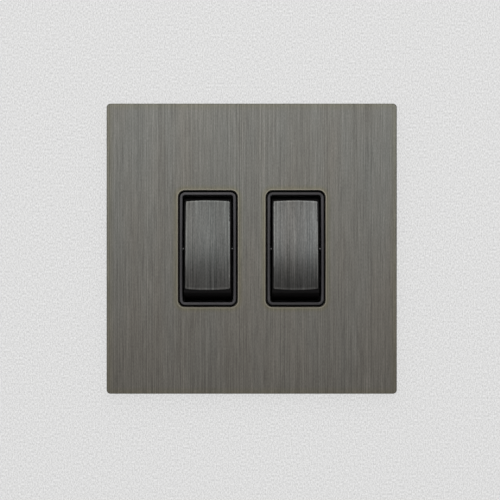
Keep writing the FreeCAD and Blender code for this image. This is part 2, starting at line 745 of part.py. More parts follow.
def rocker(side, x):
    """The black moulding under the cap: end faces rounded about the pivot, drafted sides, a hollow
    underside with ribs, trunnions, and the tube that carries the plunger."""
    body = new_body(f"rocker_{side}", x, "pivot_depth", "-rocker_tilt")
    block = top_sketch(body)
    outline(block,
            ("-rocker_width / 2", "rocker_rear"), ("-rocker_front_width / 2", "-cap_rise"),
            ("rocker_front_width / 2", "-cap_rise"), ("rocker_width / 2", "rocker_rear"))
    pad(body, block, "(2 * (rocker_end_radius + edge_break))", both_ways=True)
    seat_radius = "(cap_radius - cap_gauge)"
    seat_centre = "(cap_radius - cap_rise)"
    # where the seat's arc meets the end faces' arc about the pivot
    seat_y = f"((rocker_end_radius ^ 2 - {seat_radius} ^ 2 + {seat_centre} ^ 2) / (2 * {seat_centre}))"
    seat_z = f"sqrt(rocker_end_radius ^ 2 - {seat_y} ^ 2)"
    rear_z = "sqrt(rocker_end_radius ^ 2 - rocker_rear ^ 2)"
    profile = side_sketch(body)
    outline(profile,
            (seat_y, seat_z, "rocker_end_radius", -1), ("rocker_rear", rear_z),
            ("rocker_rear", f"-{rear_z}", "rocker_end_radius", -1),
            (seat_y, f"-{seat_z}", seat_radius, -1))
    rectangle(profile, "-2 * cap_rise", "-2 * rocker_end_radius", "cap_rise", "2 * rocker_end_radius")
    pocket(body, profile, "(2 * rocker_width)", both_ways=True)
    inner_radius = "(rocker_end_radius - rocker_wall)"
    roof_radius = f"({seat_radius} - rocker_wall)"
    roof_y = f"(({inner_radius} ^ 2 - {roof_radius} ^ 2 + {seat_centre} ^ 2) / (2 * {seat_centre}))"
    roof_z = f"sqrt({inner_radius} ^ 2 - {roof_y} ^ 2)"
    mouth_z = f"sqrt({inner_radius} ^ 2 - (2 * rocker_rear) ^ 2)"
    hollow = side_sketch(body)
    outline(hollow,
            (roof_y, roof_z, inner_radius, -1), ("2 * rocker_rear", mouth_z),
            ("2 * rocker_rear", f"-{mouth_z}", inner_radius, -1),
            (roof_y, f"-{roof_z}", roof_radius, -1))
    pocket(body, hollow, "rocker_width - 2 * rocker_wall", both_ways=True)
    roof = f"({seat_centre} - {seat_radius} + rocker_wall / 2)"
    tube = front_sketch(body, "tube_rear")
    circle(tube, CENTRE, "tube_radius")
    pad(body, tube, f"tube_rear - {roof}")
    rib_radius = f"({seat_radius} - rocker_wall / 2)"
    rib_y = f"{seat_centre} - sqrt({rib_radius} ^ 2 - rib_reach ^ 2)"
    rib = side_sketch(body)
    outline(rib, (rib_y, "-rib_reach", rib_radius, -1), (rib_y, "rib_reach"),
            ("-rib_rear", "rib_reach"), ("-rib_rear", "-rib_reach"))
    pad(body, rib, "rib_gauge", both_ways=True)
    web = front_sketch(body, "rocker_rear")
    box(web, "(rocker_width - rocker_wall)", "rib_gauge")
    pad(body, web, f"rocker_rear - {roof}")
    trunnions = side_sketch(body)
    circle(trunnions, CENTRE, "trunnion_radius")
    pad(body, trunnions, "trunnion_span", both_ways=True)
    bore = front_sketch(body, "tube_rear")
    circle(bore, CENTRE, "tube_bore_radius")
    pocket(body, bore, "tube_rear + tube_bore_end", forward=True)
    pegs = front_sketch(body, "-cap_rise")
    for end in ENDS:
        circle(pegs, ("0", f"{end} * cap_peg_offset"), "(cap_peg_radius + snap_gap)")
    pocket(body, pegs, "cap_peg_hole")


def rocker_cap(side, x):
    """The curved metal cap, with bowed ends, rounded edges and two pegs into the moulding."""
    body = new_body(f"rocker_cap_{side}", x, "pivot_depth", "-rocker_tilt")
    edge = "(cap_half_length - cap_corner)"
    half = "cap_width / 2"
    bow_radius = "((cap_width / 2 - cap_corner) ^ 2 / (2 * cap_end_bow) + cap_end_bow / 2)"
    blank = front_sketch(body, "0")
    outline(
        blank,
        (half, f"-{edge}"), (half, edge, "cap_corner", 1),
        (f"{half} - cap_corner", "cap_half_length", bow_radius, 1),
        (f"cap_corner - {half}", "cap_half_length", "cap_corner", 1),
        (f"-{half}", edge), (f"-{half}", f"-{edge}", "cap_corner", 1),
        (f"cap_corner - {half}", "-cap_half_length", bow_radius, 1),
        (f"{half} - cap_corner", "-cap_half_length", "cap_corner", 1),
    )
    pad(body, blank, "cap_rise + cap_gauge")
    pegs = front_sketch(body, "cap_peg_length + cap_peg_root - cap_rise")
    shell = side_sketch(body)
    cap_centre = "(cap_radius - cap_rise)"
    inner = "(cap_radius - cap_gauge)"
    reach = "(cap_half_length + cap_gauge)"
    outer_y = f"({cap_centre} - sqrt(cap_radius ^ 2 - {reach} ^ 2))"
    inner_y = f"({cap_centre} - sqrt({inner} ^ 2 - {reach} ^ 2))"
    outline(shell, (outer_y, reach, "cap_radius", 1), (outer_y, f"-{reach}"),
            (inner_y, f"-{reach}", inner, -1), (inner_y, reach))
    rectangle(shell, "-2 * cap_rise", "-2 * cap_half_length", "cap_gauge", "2 * cap_half_length")
    pocket(body, shell, "(2 * cap_width)", both_ways=True)
    fillet(body, "cap_round", lies_round(cap_centre, "cap_radius"))
    for end in ENDS:
        circle(pegs, ("0", f"{end} * cap_peg_offset"), "cap_peg_radius")
    pad(body, pegs, "cap_peg_length")


def plunger(side, x):
    """A nylon pin that slides in the rocker's tube and rides on the bridge."""
    body = new_body(f"plunger_{side}", x, "pivot_depth", "-rocker_tilt")
    sketch = top_sketch(body)
    neck = "(plunger_tip - plunger_neck)"
    outline(sketch,
            ("0", "plunger_front"), ("plunger_radius", "plunger_front"), ("plunger_radius", neck),
            ("plunger_tip_radius", f"{neck} + plunger_tip_radius"),
            ("plunger_tip_radius", "plunger_tip - plunger_tip_radius", "plunger_tip_radius", 1),
            ("0", "plunger_tip"))
    turned = body.newObject("PartDesign::Revolution", "Revolution")
    turned.Profile = sketch
    turned.ReferenceAxis = (sketch, ["V_Axis"])
    turned.Angle = 360
    doc.recompute()


def plunger_spring(side, x):
    """A coil of half turns, each in its own slanting plane, so that they join in line."""
    radius, wire = size_of("spring_radius"), size_of("spring_wire")
    first = -size_of("tube_bore_end") + wire
    last = size_of("plunger_front") - wire
    half_turns = int(2 * size_of("spring_turns"))
    rise = (last - first) / half_turns
    coil = []
    for index in range(half_turns):
        hand = 1 if index % 2 == 0 else -1
        start = FreeCAD.Vector(hand * radius, first + index * rise, 0)
        end = FreeCAD.Vector(-hand * radius, first + (index + 1) * rise, 0)
        along = end - start
        out = FreeCAD.Vector(0, 0, hand)
        ring = [start + FreeCAD.Rotation(out, 90 * step).multVec(FreeCAD.Vector(0, wire, 0))
                for step in range(4)]
        section = Part.Face(Part.makePolygon(ring + ring[:1]))
        coil.append(section.revolve((start + end) * 0.5, along.cross(out).normalize(), 180))
    spring = doc.addObject("Part::Feature", f"plunger_spring_{side}")
    spring.Label = f"plunger_spring_{side}"
    spring.Shape = coil[0].multiFuse(coil[1:])
    spring.Placement = FreeCAD.Placement(
        FreeCAD.Vector(size_of(x), size_of("pivot_depth"), 0),
        FreeCAD.Rotation(FreeCAD.Vector(1, 0, 0), -size_of("rocker_tilt")))


MODULE_PIECES = (bezel, switch_base, case_screws, l1_terminal, l2_terminal, common_terminal,
                 fixed_contacts, contact_bridge, moving_contacts, rocker, rocker_cap, plunger,
                 plunger_spring)


def build():
    for piece in (front_plate, clip_frame, wall_gasket, mounting_frame, box_screws, earth_terminal):
        piece()
    clamp_screws("earth_screw", "0", [("0", "-earth_height")], "earth_rear", "earth_wire_depth")
    for side, x in SIDES.items():
        for piece in MODULE_PIECES:
            piece(side, x)
        clamp_screws(f"terminal_screws_{side}", x, [UPPER_LEFT, UPPER_RIGHT, LOWER_MIDDLE],
                     "base_rear", "wire_depth")
    doc.recompute()


def export():
    """Checks every object, then writes each sub-part to its own file."""
    for thing in doc.Objects:
        if {"Invalid", "Error"} & set(thing.State):
            raise ValueError(f"{thing.Label} failed: {thing.State}")
    used = {link for group in doc.Objects if group.TypeId == "Part::Compound" for link in group.Links}
    kinds = ("PartDesign::Body", "Part::Compound", "Part::Feature")
    pieces = [thing for thing in doc.Objects if thing.TypeId in kinds and thing not in used]
    for piece in pieces:
        if piece.Shape.isNull() or not piece.Shape.isValid():
            raise ValueError(f"{piece.Label} has no valid shape")
    os.makedirs("parts", exist_ok=True)
    for piece in pieces:
        piece.Shape.exportStep(f"parts/{piece.Label}.step")


build()
export()
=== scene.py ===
import math
from itertools import accumulate

import bmesh
import bpy
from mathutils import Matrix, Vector

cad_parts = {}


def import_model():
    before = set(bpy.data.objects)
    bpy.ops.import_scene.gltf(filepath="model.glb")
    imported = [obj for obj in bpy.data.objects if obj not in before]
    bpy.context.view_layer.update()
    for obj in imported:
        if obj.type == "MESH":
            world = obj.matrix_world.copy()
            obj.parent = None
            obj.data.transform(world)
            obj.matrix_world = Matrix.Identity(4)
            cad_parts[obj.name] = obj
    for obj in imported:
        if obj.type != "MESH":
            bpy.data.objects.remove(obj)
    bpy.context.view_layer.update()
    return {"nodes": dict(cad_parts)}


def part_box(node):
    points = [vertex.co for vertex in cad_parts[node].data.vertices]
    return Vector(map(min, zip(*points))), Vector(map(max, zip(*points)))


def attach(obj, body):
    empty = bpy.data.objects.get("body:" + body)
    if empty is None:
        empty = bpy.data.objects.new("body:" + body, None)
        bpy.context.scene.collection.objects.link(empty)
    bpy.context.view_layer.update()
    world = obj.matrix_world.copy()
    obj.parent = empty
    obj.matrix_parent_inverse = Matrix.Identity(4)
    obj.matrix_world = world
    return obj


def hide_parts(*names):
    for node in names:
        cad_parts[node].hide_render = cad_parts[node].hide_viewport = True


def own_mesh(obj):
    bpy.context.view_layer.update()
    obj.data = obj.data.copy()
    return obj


# A two-gang rocker wall switch on a pale wall. Metres, in the CAD model's own frame: +X right, +Z up,
# +Y into the wall, whose surface is at y = 0.

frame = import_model()

MM = 0.001
PLATE_LOW, PLATE_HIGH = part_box("front_plate")
PLATE_FRONT = PLATE_LOW.y
PLATE_HALF = PLATE_HIGH.x
BEZEL_LOW, BEZEL_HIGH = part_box("bezel_right")
MODULE_X = (BEZEL_LOW.x + BEZEL_HIGH.x) / 2
RIM_FRONT = BEZEL_LOW.y
WINDOW_HALF_WIDTH = 9.15 * MM
WINDOW_HALF_HEIGHT = 18.0 * MM
WINDOW_CORNER = 2.0 * MM
OPENING_HALF_WIDTH = 7.83 * MM  # just within the bezel's opening, where its guide ribs start
RIB_TIP = 7.45 * MM
RIB_REACH = 1.0 * MM  # above and below the ribs' middle
CAP_HALF_WIDTH = 6.9 * MM
CAP_HALF_LENGTH = 13.8 * MM
CAP_BOW = 0.3 * MM  # how much further a cap's ends reach at its middle than at its sides
PIVOT_DEPTH = 1.0 * MM
TILT = math.radians(9)  # of a rocker at rest


# ---- short forms for building a material ----

class Shader:
    """One material's node tree. Positions come from the object's own coordinates, in metres."""

    def __init__(self, name):
        self.material = bpy.data.materials.new(name)
        self.material.use_nodes = True
        self.tree = self.material.node_tree
        self.tree.nodes.clear()
        self.surface = self.node("ShaderNodeBsdfPrincipled")
        self.output = self.node("ShaderNodeOutputMaterial")
        self.link(self.surface.outputs[0], self.output.inputs["Surface"])
        self.place = self.node("ShaderNodeTexCoord").outputs["Object"]

    def node(self, kind, **settings):
        made = self.tree.nodes.new(kind)
        for key, value in settings.items():
            setattr(made, key, value)
        return made

    def link(self, source, target):
        self.tree.links.new(source, target)

    def put(self, target, value):
        """Links a socket, or sets a plain value. A colour is three numbers."""
        if isinstance(value, bpy.types.NodeSocket):
            self.link(value, target)
        elif target.type == "RGBA":
            target.default_value = (*value, 1.0)
        else:
            target.default_value = value

    def math(self, operation, *values):
        made = self.node("ShaderNodeMath", operation=operation)
        for target, value in zip(made.inputs, values):
            self.put(target, value)
        return made.outputs[0]

    def noise(self, per_metre, detail=2.0, roughness=0.5, distortion=0.0):
        """Noise with its own number of features per metre along X, Y and Z."""
        made = self.node("ShaderNodeTexNoise")
        self.link(self.times(self.place, per_metre), made.inputs["Vector"])
        made.inputs["Scale"].default_value = 1.0
        made.inputs["Detail"].default_value = detail
        made.inputs["Roughness"].default_value = roughness
        made.inputs["Distortion"].default_value = distortion
        return made.outputs[0]

    def ramp(self, value, start, end, low=0.0, high=1.0):
        """Runs from low to high as the value runs from start to end, and stays there beyond."""
        made = self.node("ShaderNodeMapRange")
        for target, given in zip(made.inputs, (value, start, end, low, high)):
            self.put(target, given)
        return made.outputs[0]

    def fade(self, distance, reach, most=1.0):
        """The most up to the first distance of its reach, and 0 from the second on."""
        return self.ramp(distance, *reach, most, 0.0)

    def around(self, value, spread):
        """Turns a noise about 0.5 into a factor about 1."""
        return self.ramp(value, 0.0, 1.0, 1.0 - spread, 1.0 + spread)

    def product(self, *factors):
        result = factors[0]
        for factor in factors[1:]:
            result = self.math("MULTIPLY", result, factor)
        return result

    def mix(self, factor, first, second):
        made = self.node("ShaderNodeMix", data_type="RGBA")
        self.put(made.inputs["Factor"], factor)
        self.put(made.inputs[6], first)
        self.put(made.inputs[7], second)
        return made.outputs[2]

    def scaled(self, colour, amount):
        made = self.node("ShaderNodeVectorMath", operation="SCALE")
        self.put(made.inputs[0], colour)
        self.put(made.inputs["Scale"], amount)
        return made.outputs[0]

    def times(self, vector, factors):
        """A place or a colour, with each of its three numbers multiplied by its own factor."""
        made = self.node("ShaderNodeVectorMath", operation="MULTIPLY")
        self.put(made.inputs[0], vector)
        self.put(made.inputs[1], factors)
        return made.outputs[0]

    def axes(self):
        made = self.node("ShaderNodeSeparateXYZ")
        self.link(self.place, made.inputs[0])
        return made.outputs

    def bump(self, height, distance):
        made = self.node("ShaderNodeBump")
        made.inputs["Strength"].default_value = 1.0
        made.inputs["Distance"].default_value = distance
        self.link(height, made.inputs["Height"])
        self.link(made.outputs[0], self.surface.inputs["Normal"])

    def finish(self, colour, roughness, metallic=0.0, **sockets):
        self.put(self.surface.inputs["Base Color"], colour)
        self.put(self.surface.inputs["Roughness"], roughness)
        self.surface.inputs["Metallic"].default_value = metallic
        for name, value in sockets.items():
            self.surface.inputs[name.replace("_", " ")].default_value = value
        return self.material


# ---- the front's metals ----

# A pair of distances or heights says where a mask is full and where it is gone.
PLATE_COOL, PLATE_WARM = (0.139, 0.1403, 0.1325), (0.146, 0.1383, 0.1245)
PLATE_BROWNING = (0.985, 0.96, 0.78)
PLATE_WORN = (0.23, 0.217, 0.178)
PLATE_CUT = (0.60, 0.565, 0.475)
PLATE_WARMER_BELOW = 30 * MM
PLATE_PAINTED_SHADE_FROM = -20 * MM
UPPER_EDGE = PLATE_HALF - 0.4 * MM
WINDOW_BROWN = (0.4 * MM, 2.0 * MM)
WINDOW_WORN = (0.3 * MM, 0.65 * MM)
WINDOW_CUT = (0.2 * MM, 0.3 * MM)
EDGE_BROWN = (0.2 * MM, 2.4 * MM)
LEFT_CAP_COOL, LEFT_CAP_WARM = (0.0815, 0.0875, 0.087), (0.0865, 0.085, 0.0815)
RIGHT_CAP_COOL, RIGHT_CAP_WARM = (0.084, 0.0893, 0.0915), (0.090, 0.0888, 0.0855)
CAP_SIDE = (0.2 * MM, 0.5 * MM)
CAP_END = (0.1 * MM, 0.45 * MM)
CAP_WARMER_BELOW, CAP_WARMEST = -2 * MM, -12 * MM
RIGHT_CAP_SHADE_FROM, RIGHT_CAP_SHADE_DEEPEST = -1.5 * MM, -11 * MM


def brushed(shader, cool, warm, drift, strength, run):
    """An upright brushed finish: its colour, and the scratches as a height. Long lines lie among shorter
    scratches and broader streaks, and the tint wanders between cool and warm, more to the warm where drift
    is above 0. run is the number of features per metre along the lines."""
    lines = shader.noise((3300, run, run), 1.0)
    scratches = shader.noise((3600, 140, 140), 2.0, 0.6)
    nicks = shader.noise((3800, 1300, 1300), 1.0)
    streaks = shader.noise((450, 5, 5), 1.0)
    cloud = shader.noise((80, 45, 30), 2.0)
    shade = shader.product(
        shader.around(lines, 0.82 * strength),
        shader.around(scratches, 0.62 * strength),
        shader.around(nicks, 0.39 * strength),
        shader.around(streaks, 0.2 * strength),
        shader.around(cloud, 0.1 * strength),
    )
    tint = shader.math("ADD", shader.noise((130, 20, 20), 2.0), drift)
    return shader.scaled(shader.mix(shader.ramp(tint, 0.2, 0.8), cool, warm), shade), scratches


def outside(shader, value, middle, half):
    """How far a coordinate lies beyond half either side of the middle, and 0 within."""
    offset = shader.math("ABSOLUTE", shader.math("SUBTRACT", value, middle))
    return shader.math("MAXIMUM", shader.math("SUBTRACT", offset, half), 0.0)


def window_edge(shader):
    """Distance outwards from the edge of the nearer window."""
    x, _, z = shader.axes()
    across = outside(shader, shader.math("ABSOLUTE", x), MODULE_X, WINDOW_HALF_WIDTH - WINDOW_CORNER)
    along = outside(shader, z, 0.0, WINDOW_HALF_HEIGHT - WINDOW_CORNER)
    squares = shader.math("ADD", shader.product(across, across), shader.product(along, along))
    return shader.math("SUBTRACT", shader.math("SQRT", squares), WINDOW_CORNER)


def plate_edge(shader):
    """Distance inwards from the plate's nearer edge."""
    x, _, z = shader.axes()
    out = shader.math("MAXIMUM", shader.math("ABSOLUTE", x), shader.math("ABSOLUTE", z))
    return shader.math("SUBTRACT", PLATE_HALF, out)


def cap_edges(shader):
    """Distance inwards from a cap's nearer side, and from its nearer end as it lies at rest."""
    x, y, z = shader.axes()
    across = outside(shader, shader.math("ABSOLUTE", x), MODULE_X, 0.0)
    sagging = shader.math("MULTIPLY", shader.math("SUBTRACT", y, PIVOT_DEPTH), math.sin(TILT))
    along = shader.math("ADD", shader.math("MULTIPLY", z, math.cos(TILT)), sagging)
    bow = shader.product(across, across, CAP_BOW / CAP_HALF_WIDTH**2)
    bowed = shader.math("ADD", shader.math("ABSOLUTE", along), bow)
    end = shader.math("SUBTRACT", CAP_HALF_LENGTH, bowed)
    return shader.math("SUBTRACT", CAP_HALF_WIDTH, across), end


def plate_metal():
    """The plate, browner round its windows and along its edges and towards its foot, with painted shade
    darkening its foot. Its upper edge is painted paler, a painted highlight."""
    shader = Shader("brushed_plate")
    height = shader.axes()[2]
    drift = shader.ramp(height, PLATE_WARMER_BELOW, -PLATE_HALF, low=-0.18, high=0.3)
    colour, scratches = brushed(shader, PLATE_COOL, PLATE_WARM, drift, strength=0.69, run=3)
    # Painted shade: the plate is darkened towards its foot and along its lower edge.
    painted_foot_shade = shader.ramp(height, PLATE_PAINTED_SHADE_FROM, -PLATE_HALF, low=1.0, high=0.93)
    # Painted highlight: the plate's upper edge is painted paler, where it would catch the light from above.
    painted_top_highlight = shader.ramp(height, UPPER_EDGE, PLATE_HALF, low=1.0, high=1.3)
    colour = shader.scaled(shader.scaled(colour, painted_foot_shade), painted_top_highlight)
    edge = window_edge(shader)
    browned = shader.math("MAXIMUM", shader.fade(edge, WINDOW_BROWN),
                          shader.fade(plate_edge(shader), EDGE_BROWN, most=0.6))
    colour = shader.times(colour, shader.mix(browned, (1.0, 1.0, 1.0), PLATE_BROWNING))
    colour = shader.mix(shader.fade(edge, WINDOW_WORN), colour, PLATE_WORN)
    colour = shader.mix(shader.fade(edge, WINDOW_CUT), colour, PLATE_CUT)
    shader.bump(scratches, distance=0.006 * MM)
    return shader.finish(colour, shader.ramp(scratches, 0.3, 0.7, low=0.42, high=0.46), metallic=1.0)


def cap_metal():
    """The caps, with painted highlights along their edges and a warmer foot. The right one is slightly
    paler, with painted shade on its foot.
    """
    shader = Shader("brushed_cap")
    x, _, z = shader.axes()
    right = shader.math("GREATER_THAN", x, 0.0)
    cool = shader.mix(right, LEFT_CAP_COOL, RIGHT_CAP_COOL)
    warm = shader.mix(right, LEFT_CAP_WARM, RIGHT_CAP_WARM)
    drift = shader.ramp(z, CAP_WARMER_BELOW, CAP_WARMEST, high=0.3)
    colour, scratches = brushed(shader, cool, warm, drift, strength=0.88, run=20)
    side, end = cap_edges(shader)
    # Painted highlights: the caps' sides and ends are painted paler, where their rounded edges would catch
    # the light.
    painted_edge_highlight = shader.math("MAXIMUM", shader.ramp(side, *CAP_SIDE, low=2.0, high=1.0),
                        shader.ramp(end, *CAP_END, low=1.6, high=1.0))
    # Painted shade: the right cap is darkened towards its foot, as if it tilted further from the light.
    right_painted_shade = shader.ramp(z, RIGHT_CAP_SHADE_FROM, RIGHT_CAP_SHADE_DEEPEST, high=0.36)
    painted_shade_factor = shader.math("SUBTRACT", 1.0, shader.product(right, right_painted_shade))
    colour = shader.scaled(shader.scaled(colour, painted_edge_highlight), painted_shade_factor)
    shader.bump(scratches, distance=0.008 * MM)
    return shader.finish(colour, shader.ramp(scratches, 0.3, 0.7, low=0.41, high=0.45), metallic=1.0)


# ---- mouldings ----

PAINTED_SHADE_BLACK = (0.003, 0.003, 0.003)
RIM_SATIN = (0.0675, 0.066, 0.0715)
RIB_GLINT_COLOUR = (0.37, 0.37, 0.38)
RIM_DEPTH = (RIM_FRONT + 0.4 * MM, RIM_FRONT + 0.65 * MM)
RIM_DULL_FROM, RIM_DULL_TO = 15.5 * MM, 17 * MM
RIB_GLINT_REACH = (0.08 * MM, 0.2 * MM)


def eroded(shader):
    """The fine spark-eroded texture of a mould."""
    return shader.noise((3500, 3500, 3500), 2.0, 0.6)


def smears(shader):
    return shader.noise((90, 90, 300), 3.0, 0.6, 0.6)


def moulded(name, colour, roughness, grain=0.25, shine=0.5):
    """Moulded plastic: a slow tint variation, a fine texture and faint smears."""
    shader = Shader(name)
    tint = shader.noise((60, 60, 60), 3.0)
    texture = eroded(shader)
    shade = shader.product(shader.around(tint, grain), shader.around(texture, grain / 2))
    shader.bump(texture, distance=0.006 * MM)
    rough = shader.product(roughness, shader.around(smears(shader), 0.22))
    return shader.finish(shader.scaled(colour, shade), rough, Specular_IOR_Level=shine)


def black_gloss():
    """The bezel: a satin rim, duller at the right one's ends, painted shade in black below it, and guide
    ribs with a painted highlight on their tips."""
    shader = Shader("satin_black")
    texture = eroded(shader)
    x, y, z = shader.axes()
    rim = shader.fade(y, RIM_DEPTH)
    height = shader.math("ABSOLUTE", z)
    right = shader.math("GREATER_THAN", x, 0.0)
    dull_end = shader.product(right, shader.ramp(height, RIM_DULL_FROM, RIM_DULL_TO, high=0.32))
    satin = shader.scaled(RIM_SATIN, shader.math("SUBTRACT", 1.0, dull_end))
    # Painted shade: below its rim the bezel is painted black, down into the opening where shade falls.
    colour = shader.mix(rim, PAINTED_SHADE_BLACK, satin)
    across = outside(shader, shader.math("ABSOLUTE", x), MODULE_X, 0.0)
    inside = shader.math("LESS_THAN", across, OPENING_HALF_WIDTH)
    rib = shader.product(inside, shader.math("LESS_THAN", height, RIB_REACH), rim)
    # Painted highlight: a pale glint is painted on the ribs' tips.
    painted_glint = shader.product(shader.fade(height, RIB_GLINT_REACH),
                           shader.ramp(across, OPENING_HALF_WIDTH, RIB_TIP, low=0.15))
    colour = shader.mix(rib, colour, shader.mix(painted_glint, PAINTED_SHADE_BLACK, RIB_GLINT_COLOUR))
    shader.bump(texture, distance=0.001 * MM)
    dull = shader.ramp(rim, 0.0, 1.0, low=0.7, high=0.42)
    rough = shader.product(dull, shader.around(smears(shader), 0.2))
    colour = shader.scaled(colour, shader.around(texture, 0.1))
    return shader.finish(colour, rough, Specular_IOR_Level=0.12)


def black_matt():
    return moulded("matt_black", (0.0035, 0.003, 0.0035), roughness=0.5, shine=0.12)


def housing():
    return moulded("dark_housing", (0.038, 0.039, 0.042), roughness=0.5, grain=0.15)


def nylon():
    return moulded("nylon", (0.66, 0.64, 0.57), roughness=0.42, grain=0.08)


def gasket_foam():
    """Closed-cell foam."""
    shader = Shader("foam")
    cells = shader.node("ShaderNodeTexVoronoi")
    shader.link(shader.times(shader.place, (1800, 1800, 1800)), cells.inputs["Vector"])
    cells.inputs["Scale"].default_value = 1.0
    shader.bump(cells.outputs["Distance"], distance=0.05 * MM)
    shade = shader.around(shader.noise((200, 200, 200), 3.0), 0.3)
    return shader.finish(shader.scaled((0.02, 0.02, 0.021), shade), 0.9)


# ---- working metals ----

def worked_metal(name, colour, tarnish, roughness, per_metre=400):
    """A plated or drawn metal with patches of tarnish, so many per metre, and fine pits and scratches."""
    shader = Shader(name)
    patches = shader.noise((per_metre, per_metre, per_metre), 3.0, 0.5, 0.3)
    pits = shader.noise((6000, 6000, 6000), 2.0)
    scratches = shader.noise((300, 5000, 2200), 2.0, 0.6)
    dull = shader.ramp(patches, 0.42, 0.78)
    tone = shader.mix(dull, colour, tarnish)
    shade = shader.product(shader.around(pits, 0.12), shader.around(scratches, 0.18))
    shader.bump(pits, distance=0.004 * MM)
    rough = shader.math("ADD", shader.ramp(dull, 0.0, 1.0, low=roughness, high=roughness + 0.18),
                        shader.ramp(scratches, 0.3, 0.7, low=-0.04, high=0.06))
    return shader.finish(shader.scaled(tone, shade), rough, metallic=1.0)


def zinc_steel():
    """Zinc-plated sheet, with the crystal patches of its coating."""
    return worked_metal("zinc_steel", (0.52, 0.53, 0.54), (0.42, 0.43, 0.43), 0.36, per_metre=260)


def screw_steel():
    return worked_metal("plated_screw", (0.58, 0.55, 0.48), (0.50, 0.465, 0.395), 0.28)


def terminal_brass():
    return worked_metal("brass", (0.70, 0.50, 0.22), (0.58, 0.40, 0.17), 0.3, per_metre=300)


def contact_metal():
    return worked_metal("copper_alloy", (0.72, 0.42, 0.28), (0.45, 0.25, 0.17), 0.28, per_metre=600)


def contact_silver():
    return worked_metal("silver", (0.78, 0.76, 0.72), (0.5, 0.48, 0.44), 0.25, per_metre=900)


def spring_steel():
    return worked_metal("spring_steel", (0.5, 0.5, 0.52), (0.3, 0.29, 0.28), 0.22, per_metre=900)


MATERIALS = (plate_metal, cap_metal, black_gloss, black_matt, housing, nylon, gasket_foam, zinc_steel,
             screw_steel, terminal_brass, contact_metal, contact_silver, spring_steel)


def dress_frame(finishes):
    """Gives each CAD node the finish of its material slot."""
    for node in frame["nodes"].values():
        for slot in node.material_slots:
            slot.material = finishes[slot.material.name]


# ---- the box screws, with their threads ----

SCREW_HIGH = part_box("box_screws")[1]
SCREW_HEAD_RADIUS = 3.0 * MM
SCREW_X = SCREW_HIGH.x - SCREW_HEAD_RADIUS
THREAD_START = -0.1 * MM
THREAD_END = SCREW_HIGH.y
THREAD_TIP_RADIUS = 1.2 * MM
THREAD_PITCH = 0.6 * MM
THREAD_CREST = 1.75 * MM
THREAD_ROOT = 1.4 * MM
# Each line of the thread's form: how far along the pitch it lies, and its radius.
THREAD_FORM = ((0.0, THREAD_CREST), (0.125, THREAD_CREST), (0.44, THREAD_ROOT), (0.69, THREAD_ROOT))
THREAD_STEPS = 28  # points round one turn
NECK_RADIUS = 1.5 * MM
NECK_SLACK = 0.1 * MM
PLACE_SLACK = 0.01 * MM
WELD = 0.001 * MM
SCREW_CREASE = math.radians(35)


def thread_point(x, row, step):
    """A point of the thread's helix: a row is one line of its form, and a step is a part of a turn. Both
    ends are closed in to a plain ring."""
    turn, line = divmod(row, len(THREAD_FORM))
    phase, radius = THREAD_FORM[line]
    y = THREAD_START + THREAD_PITCH * (turn + phase + step / THREAD_STEPS - 1)
    y = min(max(y, THREAD_START), THREAD_END)
    radius = min(radius, THREAD_ROOT + y - THREAD_START, THREAD_TIP_RADIUS + THREAD_END - y)
    angle = 2 * math.pi * step / THREAD_STEPS
    return x + radius * math.cos(angle), y, radius * math.sin(angle)


def add_thread(form, x):
    """Adds a thread about the screw's axis at x."""
    turns = math.ceil((THREAD_END - THREAD_START) / THREAD_PITCH) + 2
    rows = turns * len(THREAD_FORM)
    points = {}
    for row in range(rows):
        for step in range(THREAD_STEPS):
            points[row, step] = form.verts.new(thread_point(x, row, step))

    def at(row, step):
        return points[row + len(THREAD_FORM) * (step // THREAD_STEPS), step % THREAD_STEPS]

    for row in range(rows - len(THREAD_FORM) - 1):
        for step in range(THREAD_STEPS):
            form.faces.new((at(row, step), at(row, step + 1), at(row + 1, step + 1), at(row + 1, step)))


def on_shank(place):
    """Whether a point of the CAD screws is on a shank or its shoulder, beyond the neck under the head."""
    out = math.hypot(abs(place.x) - SCREW_X, place.z)
    shoulder = place.y > THREAD_START - PLACE_SLACK and out > NECK_RADIUS + NECK_SLACK
    return place.y > 0 or shoulder


def box_screws(metal):
    """The CAD screws' heads and necks as they are, with a real thread in place of the plain shank."""
    mesh = frame["nodes"]["box_screws"].data.copy()
    mesh.attributes.remove(mesh.attributes["custom_normal"])
    form = bmesh.new()
    form.from_mesh(mesh)
    bmesh.ops.delete(form, geom=[vertex for vertex in form.verts if on_shank(vertex.co)], context="VERTS")
    for side in (-1, 1):
        add_thread(form, side * SCREW_X)
    bmesh.ops.remove_doubles(form, verts=form.verts, dist=WELD)
    bmesh.ops.holes_fill(form, edges=[edge for edge in form.edges if edge.is_boundary], sides=0)
    bmesh.ops.recalc_face_normals(form, faces=form.faces)
    form.to_mesh(mesh)
    form.free()
    mesh.shade_smooth()
    mesh.set_sharp_from_angle(angle=SCREW_CREASE)
    mesh.materials.clear()
    mesh.materials.append(metal)
    made = bpy.data.objects.new("threaded_box_screws", mesh)
    bpy.context.scene.collection.objects.link(made)
    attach(made, "plate")
    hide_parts("box_screws")


# ---- the plungers' springs ----

SPRING_RADIUS = 1.1 * MM
SPRING_WIRE_RADIUS = 0.2 * MM
SPRING_TURNS = 6
SPRING_STEPS = 24  # points along one turn
CLOSED_TURNS = 0.75  # at each end
OPENING_TURNS = 0.5  # over which the pitch opens out beyond them
CLOSED_PITCH = 0.45 * MM
WIRE_SIDES = 12
WIRE_CREASE = math.radians(60)
SPRING_AXIS = Vector((0.0, math.cos(TILT), -math.sin(TILT)))


